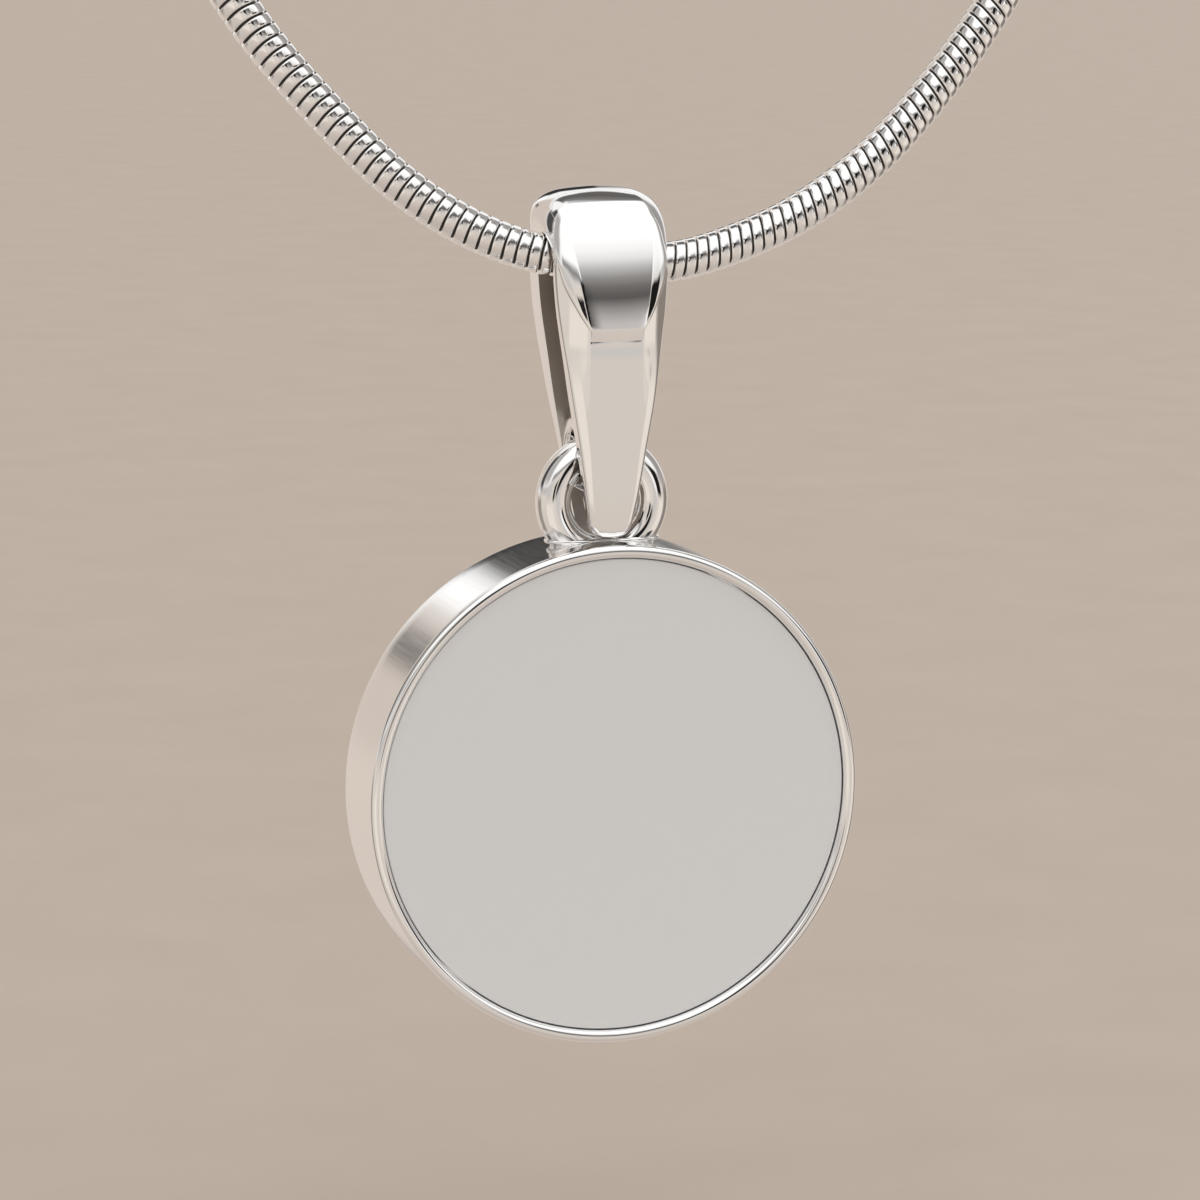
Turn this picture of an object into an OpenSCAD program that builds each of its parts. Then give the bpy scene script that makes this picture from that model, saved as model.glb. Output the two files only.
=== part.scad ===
// Disc pendant on a tapered bail and a snake chain, in millimetres.
// The origin is at the nape, in the middle of the clasp. The pendant's face looks along -Y and +Z is up.

/* [Disc] */
// Diameter of the disc
disc_d = 20; // [18:0.5:24]
// Thickness of the disc
disc_t = 4.5; // [3.5:0.1:6]
// Width of the round bead along the rim
bead_w = 0.5; // [0.3:0.05:0.8]
// Thickness of the satin plate in the rim
plate_t = 0.8; // [0.5:0.1:1.2]
// Gap between the plate and the rim
plate_gap = 0.04; // [0.02:0.01:0.1]
// Radius of the disc's back edge
back_edge_r = 0.3; // [0.1:0.05:0.5]

/* [Ring] */
// Outer diameter of the ring soldered to the disc
ring_d = 5.4; // [5.2:0.1:5.8]
// Diameter of the ring's wire
wire_d = 1.4; // [1.2:0.1:1.5]
// Height of the ring's centre above the top of the disc
ring_rise = 1.5; // [1.4:0.1:1.8]
// Length of the solder seat under the ring
seat_l = 4.7; // [3.5:0.1:5]
// Thickness of the solder seat
seat_t = 0.17; // [0.1:0.01:0.3]

/* [Bail] */
// Width of the bail across its crown
bail_w = 4.9; // [4.4:0.1:5.4]
// Depth of the bail from its front strap to its rear strap
bail_d = 4.6; // [4.2:0.1:5.2]
// Height of the crown above the middle of the chain
crown_h = 2.9; // [2.6:0.1:3.6]
// Height from the ring's centre to the middle of the chain
bail_drop = 9.5; // [9:0.1:11]
// Gap between the two straps, which the chain runs through
slot_d = 2.2; // [2.1:0.1:2.4]
// Width of the bevel along the straps' edges
bevel = 0.35; // [0.2:0.05:0.5]
// Play between the ring's wire and the bail's eye
eye_play = 0.15; // [0.1:0.01:0.25]

/* [Chain] */
// Diameter of the snake chain
chain_d = 1.6; // [1.3:0.1:1.7]
// Diameter of the clasp
clasp_d = 3.4; // [2.4:0.1:4.5]
// Length of the clasp
clasp_l = 9; // [6:0.5:9]

/* [Hidden] */
$fn = 96;
silver = [0.84, 0.84, 0.84];
satin = [0.72, 0.71, 0.69];

// The chain's middle line inside the bail, which the bail hangs from and swings about
pivot = [0, -120, -90];
ring_z = -bail_drop;
disc_z = ring_z - ring_rise - disc_d / 2;

ring_r = (ring_d - wire_d) / 2;
plate_r = disc_d / 2 - bead_w - plate_gap;
plate_recess = bead_w / 2;
seat_w = 1.2 * wire_d;
seat_sunk = 2 / 3;

// The chain's ends stand a small gap off the clasp
end_gap = 0.1;
chain_end = clasp_l / 2 + end_gap;

// Points of the chain's middle line, from the clasp's right end through the bail to its left end.
// The loop is 457 mm long with the clasp.
ROUTE = [
  [chain_end, 0, 0], [17, -1, 0], [31, -5, -1], [44, -12, -3], [55, -23, -6], [61.8, -37, -10],
  [63.8, -53, -15], [62.3, -68, -21], [57.3, -84, -29], [48, -100, -39], [38, -111, -50],
  [29, -117.5, -60.5], [22.5, -120, -70], [19, -120, -76], [16, -120, -80.8], [13.5, -120, -84],
  [11, -120, -86.5], [8, -120, -88.5], [5, -120, -89.7], [2.5, -120, -90.2], [0, -120, -90.05],
  [-2.5, -120, -89.7], [-5, -120, -88.8], [-7.5, -120, -87.3], [-10, -120, -85.1],
  [-13.5, -120, -81.2], [-17, -120, -76], [-21.5, -120, -70], [-29, -117.5, -60.5],
  [-38, -111, -50], [-48, -100, -39], [-57.3, -84, -29], [-62.3, -68, -21], [-63.8, -53, -15],
  [-61.8, -37, -10], [-55, -23, -6], [-44, -12, -3], [-31, -5, -1], [-17, -1, 0], [-chain_end, 0, 0]
];
RINGS_PER_SPAN = 2;
TUBE_SIDES = 8;

// Cross sections of the bail from its crown to its tip. The height is a share of crown_h above the
// chain and of bail_drop below it. The other columns are shares of bail_w / 2 and bail_d / 2, and a
// front below zero stands behind the chain's middle line.
HEIGHT = 0;
HALF_WIDTH = 1;
FRONT = 2;
REAR = 3;
SECTIONS = [
  [1, 0.37, -0.33, 0.5],
  [0.959, 0.65, -0.24, 0.63],
  [0.917, 0.77, -0.08, 0.77],
  [0.857, 0.86, 0.08, 0.88],
  [0.778, 0.94, 0.22, 0.95],
  [0.683, 0.98, 0.35, 1],
  [0.578, 1, 0.46, 1.02],
  [0.431, 1, 0.58, 1.02],
  [0.276, 0.98, 0.67, 1.02],
  [0, 0.95, 0.8, 1.02],
  [-0.116, 0.93, 0.92, 1.03],
  [-0.263, 0.86, 0.97, 1.04],
  [-0.389, 0.79, 0.93, 1.01],
  [-0.563, 0.69, 0.86, 0.91],
  [-0.768, 0.55, 0.81, 0.75],
  [-0.974, 0.43, 0.72, 0.62],
  [-1.063, 0.38, 0.66, 0.59],
  [-1.16, 0.32, 0.61, 0.54]
];

// The eye: its inner and outer radius about the ring's centre, and its depth
eye_in = ring_r - wire_d / 2 - eye_play;
eye_out = ring_r + wire_d / 2 + eye_play;
eye_d = 2;

// The round tip, which stays clear of the disc as it swings
tip_gap = 0.13;
tip_r = ring_rise - tip_gap;

// The straps' inner faces beside the ring, and the height above its centre where the bar between them ends
strap_gap = 0.25;
strap_inner = wire_d / 2 + strap_gap;
bar_foot = 0.45;

// The round web over the eye, which closes the foot of the slot
arch_r = 1.35;
arch_sink = 0.1;
arch_z = ring_z + ring_r - arch_sink;
slot_foot = ring_z + eye_out;

// How far a cut runs past the metal
past = 1;

// A point of a smooth curve through b and c, where t runs from 0 at b to 1 at c
function curve_point(a, b, c, d, t) =
  0.5 * (2 * b + (c - a) * t + (2 * a - 5 * b + 4 * c - d) * t ^ 2 + (3 * b - a - 3 * c + d) * t ^ 3);

function clamp_index(i, points) = max(0, min(len(points) - 1, i));

function smooth_route(points, steps) = [
  for (i = [0 : len(points) - 2], k = [0 : steps - 1])
    curve_point(points[clamp_index(i - 1, points)], points[i], points[i + 1],
                points[clamp_index(i + 2, points)], k / steps),
  points[len(points) - 1]
];

function unit(v) = v / norm(v);

function tangent(points, i) = unit(points[clamp_index(i + 1, points)] - points[clamp_index(i - 1, points)]);

// A tube round a line of points. Its rings stand square to the line, and turn about loop_normal.
module tube(points, d, sides, loop_normal) {
  ring_points = [
    for (i = [0 : len(points) - 1])
      let (t = tangent(points, i), u = unit(cross(t, loop_normal)), v = cross(t, u))
        for (k = [0 : sides - 1])
          points[i] + d / 2 * (u * cos(360 * k / sides) + v * sin(360 * k / sides))
  ];
  walls = [
    for (i = [0 : len(points) - 2], k = [0 : sides - 1])
      [i * sides + k, (i + 1) * sides + k, (i + 1) * sides + (k + 1) % sides, i * sides + (k + 1) % sides]
  ];
  first_end = [for (k = [0 : sides - 1]) k];
  last_end = [for (k = [sides - 1 : -1 : 0]) (len(points) - 1) * sides + k];
  polyhedron(points = ring_points, faces = concat(walls, [first_end, last_end]), convexity = 6);
}

module chain() {
  color(silver)
    tube(smooth_route(ROUTE, RINGS_PER_SPAN), chain_d, TUBE_SIDES, unit([0, -pivot.z, pivot.y]));
}

// A plain barrel along X with tapered shoulders
module clasp() {
  shoulder = 1.2;
  neck_wall = 0.3;
  neck_r = chain_d / 2 + neck_wall;
  color(silver)
    rotate([0, 90, 0])
      rotate_extrude()
        polygon([
          [0, -clasp_l / 2], [neck_r, -clasp_l / 2], [clasp_d / 2, shoulder - clasp_l / 2],
          [clasp_d / 2, clasp_l / 2 - shoulder], [neck_r, clasp_l / 2], [0, clasp_l / 2]
        ]);
}

// Turns a revolved profile so that its axis runs from front to back
module facing_front() {
  rotate([90, 0, 0])
    children();
}

function section_z(row) = row[HEIGHT] * (row[HEIGHT] > 0 ? crown_h : bail_drop);

// One level cross section of the bail: a rectangle with bevelled corners
module bail_section(row) {
  w = row[HALF_WIDTH] * bail_w / 2;
  front = -row[FRONT] * bail_d / 2;
  rear = row[REAR] * bail_d / 2;
  cut = min(bevel, (rear - front) / 4);
  translate([0, 0, section_z(row)])
    linear_extrude(0.001)
      polygon([
        [-w + cut, front], [w - cut, front], [w, front + cut], [w, rear - cut],
        [w - cut, rear], [-w + cut, rear], [-w, rear - cut], [-w, front + cut]
      ]);
}

// The slot for the chain, drawn across the bail: round at the top, over an arch at the foot
module slot_profile() {
  difference() {
    union() {
      circle(d = slot_d);
      translate([-slot_d / 2, slot_foot])
        square([slot_d, -slot_foot]);
    }
    translate([0, arch_z])
      circle(r = arch_r);
  }
}

// The eye that the ring turns in, revolved about the ring's own centre
module eye() {
  translate([0, 0, ring_z])
    facing_front()
      rotate_extrude()
        translate([eye_in, -eye_d / 2])
          square([eye_out - eye_in, eye_d]);
}

// Room between the straps' lower ends, where the ring turns
module swing_room() {
  translate([-bail_w, -strap_inner, ring_z - ring_rise - past])
    cube([2 * bail_w, 2 * strap_inner, ring_rise + past + bar_foot]);
}

// Everything below the ring's centre and outside the rounded tip
module tip_trim() {
  difference() {
    translate([-bail_w, -bail_d, ring_z - 2 * ring_rise])
      cube([2 * bail_w, 2 * bail_d, 2 * ring_rise]);
    translate([0, bail_d, ring_z])
      facing_front()
        cylinder(r = tip_r, h = 2 * bail_d);
  }
}

module bail() {
  color(silver)
    translate(pivot)
      difference() {
        hull()
          for (row = SECTIONS) bail_section(row);
        translate([-bail_w, 0, 0])
          rotate([90, 0, 90])
            linear_extrude(2 * bail_w)
              slot_profile();
        eye();
        swing_room();
        tip_trim();
      }
}

// Half of the case's outline, as distance from the disc's axis and place along it.
// The front of the disc is at +disc_t / 2 there.
module case_profile() {
  r = disc_d / 2;
  front = disc_t / 2;
  floor_y = front - plate_recess - plate_t - plate_gap;
  difference() {
    union() {
      translate([0, -front])
        square([r - back_edge_r, disc_t / 2]);
      translate([r - back_edge_r, back_edge_r - front])
        circle(r = back_edge_r);
      translate([0, back_edge_r - front])
        square([r, disc_t - back_edge_r - bead_w / 2]);
      translate([r - bead_w / 2, front - bead_w / 2])
        circle(d = bead_w);
    }
    translate([-past, floor_y])
      square([r - bead_w + past, disc_t]);
    translate([-2 * past, -disc_t])
      square([2 * past, 2 * disc_t]);
  }
}

// The ring and the solder seat that joins it to the wall
module soldered_ring() {
  translate([0, 0, ring_z])
    facing_front()
      rotate_extrude()
        translate([ring_r, 0])
          circle(d = wire_d, $fn = 48);
  translate([-seat_l / 2, -seat_w / 2, ring_z - ring_rise - seat_t * seat_sunk])
    cube([seat_l, seat_w, seat_t]);
}

// The disc's back, wall and rim, with the ring's foot sunk in the wall's metal
module case() {
  color(silver)
    translate(pivot) {
      translate([0, 0, disc_z])
        facing_front()
          rotate_extrude($fn = 180)
            case_profile();
      soldered_ring();
    }
}

module face_plate() {
  color(satin)
    translate(pivot + [0, plate_recess - disc_t / 2, disc_z])
      rotate([-90, 0, 0])
        cylinder(r = plate_r, h = plate_t, $fn = 180);
}

chain();
clasp();
bail();
case();
face_plate();
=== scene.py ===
"""Looks of a round pendant on a tapered bail and a snake chain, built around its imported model.

Sizes are in millimetres and are turned into metres where a mesh is made.
"""

import math

import bpy
import numpy as np
from mathutils import Matrix, Vector


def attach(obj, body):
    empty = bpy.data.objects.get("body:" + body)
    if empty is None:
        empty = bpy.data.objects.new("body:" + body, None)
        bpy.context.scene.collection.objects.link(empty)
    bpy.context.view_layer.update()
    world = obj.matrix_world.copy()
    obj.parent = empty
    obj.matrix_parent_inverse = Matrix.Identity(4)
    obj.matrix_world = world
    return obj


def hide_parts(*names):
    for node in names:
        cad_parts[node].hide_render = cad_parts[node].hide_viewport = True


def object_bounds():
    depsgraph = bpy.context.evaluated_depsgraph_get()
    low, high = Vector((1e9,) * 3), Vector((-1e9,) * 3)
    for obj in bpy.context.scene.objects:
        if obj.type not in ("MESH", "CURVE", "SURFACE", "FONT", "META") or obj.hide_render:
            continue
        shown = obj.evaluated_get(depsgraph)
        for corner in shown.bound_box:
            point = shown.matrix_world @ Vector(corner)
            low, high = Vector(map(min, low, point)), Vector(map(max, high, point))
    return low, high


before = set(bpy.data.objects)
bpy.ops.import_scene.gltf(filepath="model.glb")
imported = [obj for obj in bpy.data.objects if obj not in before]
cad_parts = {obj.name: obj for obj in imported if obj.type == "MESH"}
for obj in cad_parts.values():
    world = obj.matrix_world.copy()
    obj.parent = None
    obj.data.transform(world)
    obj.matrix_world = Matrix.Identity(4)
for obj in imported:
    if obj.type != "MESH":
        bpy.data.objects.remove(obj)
cad_low, cad_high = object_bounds()

MM = 0.001

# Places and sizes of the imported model
PIVOT = np.array([0.0, -120.0, -90.0])
RING_Z = -9.5
RING_R = 2.0
WIRE_R = 0.7
DISC_Z = -21.0
DISC_R = 10.0
DISC_T = 4.5
BEAD_R = 0.25
BACK_EDGE_R = 0.3
PLATE_R = 9.46
PLATE_T = 0.8
RECESS_R = 9.5
RECESS_FLOOR = 1.16
SLOT_R = 1.1
CHAIN_R = 0.79
CLASP_R = 1.7
CLASP_L = 9.0

ROUTE = [
    (4.6, 0, 0), (17, -1, 0), (31, -5, -1), (44, -12, -3), (55, -23, -6), (61.8, -37, -10),
    (63.8, -53, -15), (62.3, -68, -21), (57.3, -84, -29), (48, -100, -39), (38, -111, -50),
    (29, -117.5, -60.5), (22.5, -120, -70), (19, -120, -76), (16, -120, -80.8), (13.5, -120, -84),
    (11, -120, -86.5), (8, -120, -88.5), (5, -120, -89.7), (2.5, -120, -90.2), (0, -120, -90.05),
    (-2.5, -120, -89.7), (-5, -120, -88.8), (-7.5, -120, -87.3), (-10, -120, -85.1),
    (-13.5, -120, -81.2), (-17, -120, -76), (-21.5, -120, -70), (-29, -117.5, -60.5),
    (-38, -111, -50), (-48, -100, -39), (-57.3, -84, -29), (-62.3, -68, -21), (-63.8, -53, -15),
    (-61.8, -37, -10), (-55, -23, -6), (-44, -12, -3), (-31, -5, -1), (-17, -1, 0), (-4.6, 0, 0),
]

# The camera: it looks at the disc from a little left of its face and from above
CAMERA_AZIMUTH = -17.06
CAMERA_ELEVATION = 9.96
CAMERA_DISTANCE = 177.2
CAMERA_RIGHT = -0.719
CAMERA_UP = 7.807
CAMERA_TARGET = np.array([0.0, -122.25, -111.05])
LENS = 135
SENSOR = 36


# Meshes

def add_piece(name, points, faces, material, body, node, crease=None):
    """Makes a smooth mesh from points in millimetres and says what it stands for."""
    mesh = bpy.data.meshes.new(name)
    mesh.from_pydata((np.asarray(points, float) * MM).tolist(), [], faces)
    mesh.update()
    mesh.shade_smooth()
    if crease is not None:
        mesh.set_sharp_from_angle(angle=math.radians(crease))
    piece = bpy.data.objects.new(name, mesh)
    bpy.context.collection.objects.link(piece)
    mesh.materials.append(material)
    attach(piece, body)
    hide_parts(node)


def grid_faces(rows, columns, close_rows=False, close_columns=False, start=0):
    """Quads of a grid of points that are stored row by row."""
    faces = []
    for i in range(rows if close_rows else rows - 1):
        for j in range(columns if close_columns else columns - 1):
            a = start + i * columns + j
            b = start + i * columns + (j + 1) % columns
            c = start + (i + 1) % rows * columns + (j + 1) % columns
            d = start + (i + 1) % rows * columns + j
            faces.append((a, b, c, d))
    return faces


def end_caps(rows, columns):
    """One face at each end of a tube whose rings of points are stored row by row."""
    return [tuple(range(columns))[::-1], tuple(range((rows - 1) * columns, rows * columns))]


def mix(a, b, share):
    """A value or place between two others, at a share of the way."""
    return a + (b - a) * share


def smooth_step(value, low, high):
    """0 below the low end and 1 above the high one, with a smooth rise between them."""
    t = np.clip((value - low) / (high - low), 0, 1)
    return t * t * (3 - 2 * t)


def arc(centre, radius, start, end, steps):
    """Points of an arc in a plane, with its angles in degrees."""
    angles = np.radians(np.linspace(start, end, steps))
    return [(centre[0] + radius * math.cos(a), centre[1] + radius * math.sin(a)) for a in angles]


def lathe(profile, centre, segments, axis="y"):
    """Turns a profile of (radius, distance along the axis). An end that is on the axis is closed.

    Along y, the distance grows towards the front, which is -Y. Along x it grows towards +X.
    """
    inner = [p for p in profile if p[0] > 0]
    points = []
    for radius, along in inner:
        for k in range(segments):
            t = 2 * math.pi * k / segments
            if axis == "y":
                points.append((radius * math.cos(t), -along, radius * math.sin(t)))
            else:
                points.append((along, radius * math.cos(t), radius * math.sin(t)))
    faces = grid_faces(len(inner), segments, close_columns=True)
    for end, row in ((profile[0], 0), (profile[-1], len(inner) - 1)):
        if end[0] > 0:
            continue
        pole = len(points)
        points.append((0, -end[1], 0) if axis == "y" else (end[1], 0, 0))
        for k in range(segments):
            a, b = row * segments + k, row * segments + (k + 1) % segments
            faces.append((pole, b, a) if row == 0 else (pole, a, b))
    return np.array(points) + centre, faces


def smooth_value(table, at, index):
    """A table's column at a place in its first column, on a smooth curve of cubic pieces."""
    places = [row[0] for row in table]
    values = [row[index] for row in table]
    at = min(max(at, places[0]), places[-1])
    i = int(np.clip(np.searchsorted(places, at) - 1, 0, len(places) - 2))
    before, after = max(i - 1, 0), min(i + 2, len(places) - 1)
    span = places[i + 1] - places[i]
    t = (at - places[i]) / span
    m0 = (values[i + 1] - values[before]) / (places[i + 1] - places[before]) * span
    m1 = (values[after] - values[i]) / (places[after] - places[i]) * span
    return ((2 * t**3 - 3 * t**2 + 1) * values[i] + (t**3 - 2 * t**2 + t) * m0
            + (3 * t**2 - 2 * t**3) * values[i + 1] + (t**3 - t**2) * m1)


def curve(table, index, step=0.01):
    """A function that looks values up on the smooth curve through a table's column."""
    places = np.arange(table[0][0], table[-1][0] + step, step)
    values = np.array([smooth_value(table, p, index) for p in places])
    return lambda at: np.interp(at, places, values)


# Materials

STEEL = (0.92, 0.91, 0.90)
SATIN_STEEL = (0.96, 0.98, 1.0)
# Rough cast steel inside the slot, whose darker brownish tone is painted shade for the recess
CAST_STEEL_AND_SHADE = (0.62, 0.57, 0.52)
# Dark colour of the tube inside the chain: painted shade for the seams between the links
SEAM_SHADE = (0.07, 0.065, 0.06)


def new_material(name, color, metallic=1.0, roughness=0.1):
    """A metal, or another material, with its nodes, its links and its shader."""
    material = bpy.data.materials.new(name)
    material.use_nodes = True
    nodes, links = material.node_tree.nodes, material.node_tree.links
    shader = nodes["Principled BSDF"]
    shader.inputs["Base Color"].default_value = (*color, 1)
    shader.inputs["Metallic"].default_value = metallic
    shader.inputs["Roughness"].default_value = roughness
    return material, nodes, links, shader


def object_noise(nodes, links, scale, detail, stretch=(1, 1, 1)):
    """Noise in the object's own coordinates, with its scale given per metre."""
    place = nodes.new("ShaderNodeTexCoord")
    mapping = nodes.new("ShaderNodeMapping")
    mapping.inputs["Scale"].default_value = stretch
    noise = nodes.new("ShaderNodeTexNoise")
    noise.inputs["Scale"].default_value = scale
    noise.inputs["Detail"].default_value = detail
    links.new(place.outputs["Object"], mapping.inputs["Vector"])
    links.new(mapping.outputs["Vector"], noise.inputs["Vector"])
    return noise


def spread(nodes, links, source, low, high):
    """Maps a 0 to 1 value onto another range."""
    node = nodes.new("ShaderNodeMapRange")
    node.inputs["To Min"].default_value = low
    node.inputs["To Max"].default_value = high
    links.new(source, node.inputs["Value"])
    return node.outputs["Result"]


def add_bump(nodes, links, shader, source, strength, height):
    """Fine relief from a 0 to 1 value, with its height in metres."""
    bump = nodes.new("ShaderNodeBump")
    bump.inputs["Strength"].default_value = strength
    bump.inputs["Distance"].default_value = height
    links.new(source, bump.inputs["Height"])
    links.new(bump.outputs["Normal"], shader.inputs["Normal"])


def polished(name, color, low, high):
    """Metal whose roughness wanders between two values."""
    material, nodes, links, shader = new_material(name, color)
    noise = object_noise(nodes, links, scale=900, detail=3)
    links.new(spread(nodes, links, noise.outputs["Fac"], low, high), shader.inputs["Roughness"])
    return material


def satin():
    """The plate's metal, with a fine grain and faint clouds."""
    material, nodes, links, shader = new_material("satin", SATIN_STEEL, metallic=0.5)
    grain = object_noise(nodes, links, scale=9000, detail=3)
    cloud = object_noise(nodes, links, scale=160, detail=2)
    links.new(spread(nodes, links, cloud.outputs["Fac"], low=0.42, high=0.5), shader.inputs["Roughness"])
    add_bump(nodes, links, shader, grain.outputs["Fac"], strength=0.05, height=0.00002)
    return material


def brushed():
    """The wall's metal, with fine lines from front to rear."""
    material, nodes, links, shader = new_material("brushed_wall", STEEL)
    lines = object_noise(nodes, links, scale=9000, detail=2, stretch=(1, 0.03, 1))
    links.new(spread(nodes, links, lines.outputs["Fac"], low=0.1, high=0.2), shader.inputs["Roughness"])
    add_bump(nodes, links, shader, lines.outputs["Fac"], strength=0.06, height=0.00001)
    return material


mirror = polished("polished_steel", STEEL, low=0.02, high=0.05)
link_metal = polished("link_steel", STEEL, low=0.03, high=0.06)
# The tube in the chain's seams is dark metal, as painted shade
seam_shade_metal = polished("seam_painted_shade", SEAM_SHADE, low=0.5, high=0.65)
# The slot's inner faces are rough cast metal, darkened as painted shade
cast_shaded_metal = polished("cast_steel_painted_shade", CAST_STEEL_AND_SHADE, low=0.38, high=0.5)
wall_metal = brushed()
plate_metal = satin()


# The disc

DISC_CENTRE = PIVOT + [0, 0, DISC_Z]
DISC_SIDES = 400
PLATE_SIDES = 360
PLATE_EDGE = 0.03
PLATE_FRONT = DISC_T / 2 - BEAD_R


def build_rim():
    """The round rim, and the recess inside it that the plate lies in."""
    bead = arc((DISC_R - BEAD_R, PLATE_FRONT), BEAD_R, 180, 0, 33)
    profile = [(0, RECESS_FLOOR), (RECESS_R, RECESS_FLOOR), *bead]
    points, faces = lathe(profile, DISC_CENTRE, DISC_SIDES)
    add_piece("disc_rim", points, faces, mirror, "disc", "case", crease=30)


def build_wall():
    """The disc's wall and back, with a small round edge between them."""
    edge_y = BACK_EDGE_R - DISC_T / 2
    wall = [(DISC_R, a) for a in np.linspace(PLATE_FRONT, edge_y, 6)]
    edge = arc((DISC_R - BACK_EDGE_R, edge_y), BACK_EDGE_R, 0, -90, 9)
    points, faces = lathe([*wall, *edge[1:], (0, -DISC_T / 2)], DISC_CENTRE, DISC_SIDES)
    add_piece("disc_wall", points, faces, wall_metal, "disc", "case", crease=30)


def build_plate():
    """The satin plate, whose front is level with the foot of the rim's bead."""
    rear = PLATE_FRONT - PLATE_T
    edge = [(PLATE_R, PLATE_FRONT - PLATE_EDGE), (PLATE_R - PLATE_EDGE, PLATE_FRONT)]
    points, faces = lathe([(0, rear), (PLATE_R, rear), *edge, (0, PLATE_FRONT)], DISC_CENTRE, PLATE_SIDES)
    add_piece("satin_plate", points, faces, plate_metal, "disc", "face_plate", crease=30)


def build_ring():
    """The round wire ring that is soldered to the wall."""
    turns, sides = 160, 64
    points = []
    for i in range(turns):
        t = 2 * math.pi * i / turns
        for k in range(sides):
            s = 2 * math.pi * k / sides
            out = RING_R + WIRE_R * math.cos(s)
            points.append((out * math.cos(t), WIRE_R * math.sin(s), out * math.sin(t)))
    faces = grid_faces(turns, sides, close_rows=True, close_columns=True)
    points = np.array(points) + PIVOT + [0, 0, RING_Z]
    add_piece("soldered_ring", points, faces, mirror, "disc", "case")


# The bail. Heights are from the middle of the chain, and fronts and rears are distances from it.

# The crown's outer line in its middle, from its lower edge up over the top and down the rear:
# length along it, and how far it tilts up in degrees
CROWN_TILT = [
    (0, 0.5), (0.7, 5), (1.4, 9.5), (2.0, 14), (2.55, 17.5), (2.9, 20), (3.4, 24), (3.9, 29), (4.4, 36),
    (4.8, 43), (5.2, 51), (5.6, 59.5), (6.0, 68.5), (6.4, 77.5), (6.8, 87), (7.0, 93), (7.3, 103),
    (7.6, 116), (7.9, 132), (8.2, 150), (8.5, 165), (8.8, 175), (9.1, 180), (10.6, 180),
]

# The crown's foot, below which its face falls back a little down to its step
CROWN_FOOT_FRONT = 2.24
CROWN_FOOT_Z = -2.5
STEP_Z = -2.98
FOOT_RECESS = 0.13
FOOT_RECESS_POWER = 1.15

# The crown's outline: height, half width, half width between its creases, angle at the creases in degrees,
# how far its edges lie behind its middle, and width of the even band beside the creases
CROWN = [
    (-3.0, 1.04, 0.98, 6, 0.04, 0.0),
    (-2.6, 1.10, 1.04, 9, 0.06, 0.0),
    (-2.4, 1.22, 1.10, 14, 0.11, 0.06),
    (-2.0, 1.48, 1.18, 15, 0.19, 0.16),
    (-1.6, 1.69, 1.26, 15, 0.24, 0.24),
    (-1.2, 1.88, 1.33, 15, 0.29, 0.28),
    (-0.8, 2.04, 1.40, 15, 0.31, 0.28),
    (-0.4, 2.16, 1.46, 14, 0.33, 0.25),
    (0.0, 2.26, 1.51, 12, 0.34, 0.2),
    (0.4, 2.34, 1.55, 9, 0.36, 0.12),
    (0.8, 2.39, 1.58, 5, 0.40, 0.05),
    (1.2, 2.44, 1.60, 2, 0.44, 0.0),
    (1.6, 2.46, 1.58, 0, 0.48, 0.0),
    (2.0, 2.42, 1.52, 0, 0.48, 0.0),
    (2.2, 2.36, 1.46, 0, 0.46, 0.0),
    (2.4, 2.24, 1.38, 0, 0.42, 0.0),
    (2.6, 2.02, 1.20, 0, 0.32, 0.0),
    (2.75, 1.70, 1.00, 0, 0.22, 0.0),
    (2.86, 1.20, 0.80, 0, 0.12, 0.0),
    (2.9, 0.80, 0.50, 0, 0.1, 0.0),
]

# The straps: height, half width, front, rear, and half width of the middle facet
STRAPS = [
    (-10.87, 0.05, 1.14, 1.10, 0.02),
    (-10.85, 0.24, 1.23, 1.17, 0.12),
    (-10.80, 0.42, 1.32, 1.24, 0.25),
    (-10.72, 0.58, 1.39, 1.29, 0.38),
    (-10.6, 0.72, 1.43, 1.32, 0.50),
    (-10.4, 0.84, 1.47, 1.34, 0.60),
    (-10.1, 0.91, 1.52, 1.36, 0.67),
    (-9.7, 0.98, 1.59, 1.39, 0.74),
    (-9.25, 1.06, 1.66, 1.42, 0.81),
    (-8.4, 1.19, 1.77, 1.53, 0.90),
    (-7.3, 1.36, 1.87, 1.72, 1.01),
    (-5.35, 1.69, 1.98, 2.10, 1.28),
    (-3.7, 1.93, 2.04, 2.34, 1.52),
    (-2.98, 2.04, 2.06, 2.40, 1.62),
    (-2.0, 2.18, 2.14, 2.39, 1.75),
    (-1.2, 2.26, 2.17, 2.37, 1.84),
    (-0.4, 2.31, 2.20, 2.36, 1.9),
    (0.0, 2.31, 2.22, 2.35, 1.9),
    (0.5, 2.24, 2.24, 2.30, 1.85),
]
STRAP_TOP = 0.45
ARCH_Z = -7.45
TIP_END = -10.862
SLOT_EDGE_R = 0.05
STRAP_CORNER_R = 0.22

# The crown's face: how far its middle sags towards its creases, the least width that its edges bend over,
# its corners' rounding at its foot, how much more it is at its top, and where that growth starts and ends
CROWN_SAG = 0.03
EDGE_MIN_W = 0.05
CROWN_CORNER_R = 0.14
CROWN_CORNER_GROWTH = 0.75
CORNER_LOW_Z = -0.8
CORNER_HIGH_Z = 2.2

# The straps' facets: slopes of the outer ones, width and slope of the narrow bands between them and the
# middle one, and how far the whole face is curved
FRONT_FACET_SLOPE = 0.48
REAR_FACET_SLOPE = 0.3
BAND_W = 0.33
BAND_SLOPE = 0.045
FACE_CURVE = 0.004

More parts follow.
